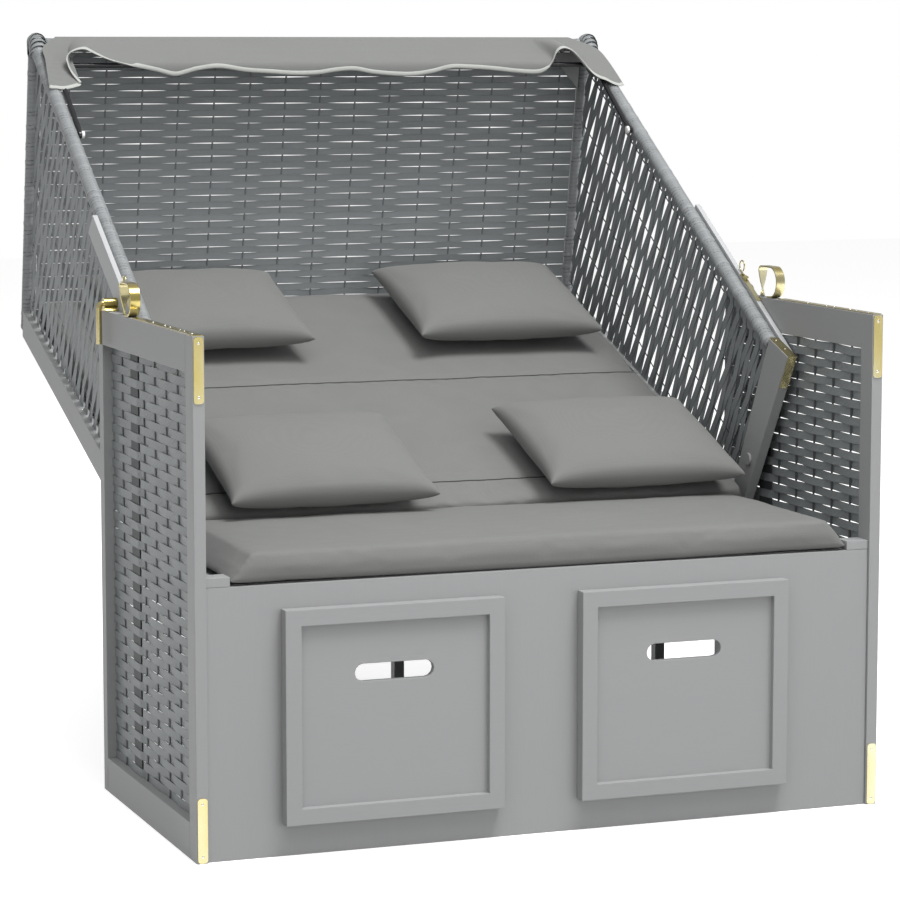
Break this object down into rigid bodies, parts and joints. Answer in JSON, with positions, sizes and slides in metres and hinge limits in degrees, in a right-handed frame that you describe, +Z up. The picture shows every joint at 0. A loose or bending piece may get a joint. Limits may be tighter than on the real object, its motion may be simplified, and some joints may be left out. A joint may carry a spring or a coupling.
{
  "type": "hooded beach chair",
  "caption": "Two-seat hooded beach chair with woven sides, a tilting woven hood, pull-out footrests, cushions and a small awning.",
  "frame": {"origin": "on the ground under the middle of the reclined chair's bounding box", "axes": "+X to the right of someone who faces the seat, +Y to the back, +Z up"},
  "size_m": [1.212, 1.2894, 1.2778],
  "materials": {
    "grey_wood": "satin",
    "pale_wood": "satin",
    "rattan": "satin",
    "fabric": "matte",
    "brass": "gloss",
    "grey_metal": "satin",
    "dark_metal": "satin"
  },
  "bodies": {
    "seat_box": {"side_frame_left": "grey_wood", "side_frame_right": "grey_wood", "side_weave_left": "rattan", "side_weave_right": "rattan", "pivot_post_left": "grey_metal", "pivot_post_right": "grey_metal", "pivot_bolt_left": "dark_metal", "pivot_bolt_right": "dark_metal", "pivot_bushing_left": "dark_metal", "pivot_bushing_right": "dark_metal", "front_panel": "grey_wood", "seat_board": "grey_wood", "inner_frame": "grey_wood", "arm_strip_left": "brass", "arm_strip_right": "brass", "post_strip_lower_left": "brass", "post_strip_lower_right": "brass", "post_strip_upper_left": "brass", "post_strip_upper_right": "brass", "bolt_barrel_left": "brass", "bolt_barrel_right": "brass", "strap_loop_left": "brass", "strap_loop_right": "brass", "seat_cushion": "fabric"},
    "hood": {"side_board_left": "grey_wood", "side_board_right": "grey_wood", "board_edge_strip_left": "brass", "board_edge_strip_right": "brass", "hood_front_bar_left": "rattan", "hood_front_bar_right": "rattan", "back_side_rail_left": "grey_wood", "back_side_rail_right": "grey_wood", "hood_side_weave_left": "rattan", "hood_side_weave_right": "rattan", "guide_strip_left": "pale_wood", "guide_strip_right": "pale_wood", "strip_plate_left": "brass", "strip_plate_right": "brass", "ring_clip_left": "brass", "ring_clip_right": "brass", "awning_cloth": "fabric", "roof_frame": "rattan", "roof_weave": "rattan", "corner_gusset_left": "rattan", "corner_gusset_right": "rattan", "back_bottom_rail": "grey_wood", "back_weave": "rattan", "back_mattress": "fabric", "pillow_rear_left": "fabric", "pillow_rear_right": "fabric", "pillow_front_left": "fabric", "pillow_front_right": "fabric"},
    "awning_bow": {"awning_bow": "dark_metal"},
    "locking_bolt_left": {"locking_bolt_left": "brass"},
    "locking_bolt_right": {"locking_bolt_right": "brass"},
    "footrest_left": {"footrest_front_left": "grey_wood", "footrest_frame_left": "grey_wood"},
    "footrest_right": {"footrest_front_right": "grey_wood", "footrest_frame_right": "grey_wood"}
  },
  "joints": [
    {"name": "hood_tilt", "type": "hinge", "parent": "seat_box", "child": "hood", "pos_m": [0, -0.23088, 0.5382], "axis": [1, 0, 0], "range_deg": [0, 53], "deforming": ["pillow_front_left", "pillow_front_right"]},
    {"name": "awning_swing", "type": "hinge", "parent": "hood", "child": "awning_bow", "pos_m": [0, 0.27991, 1.10402], "axis": [1, 0, 0], "range_deg": [0, 60], "deforming": ["awning_cloth"]},
    {"name": "locking_bolt_slide_left", "type": "slide", "parent": "seat_box", "child": "locking_bolt_left", "axis": [-1, 0, 0], "range_m": [0, 0.028]},
    {"name": "locking_bolt_slide_right", "type": "slide", "parent": "seat_box", "child": "locking_bolt_right", "axis": [1, 0, 0], "range_m": [0, 0.028]},
    {"name": "footrest_slide_left", "type": "slide", "parent": "seat_box", "child": "footrest_left", "axis": [0, -1, 0], "range_m": [0, 0.32]},
    {"name": "footrest_slide_right", "type": "slide", "parent": "seat_box", "child": "footrest_right", "axis": [0, -1, 0], "range_m": [0, 0.32]}
  ]
}
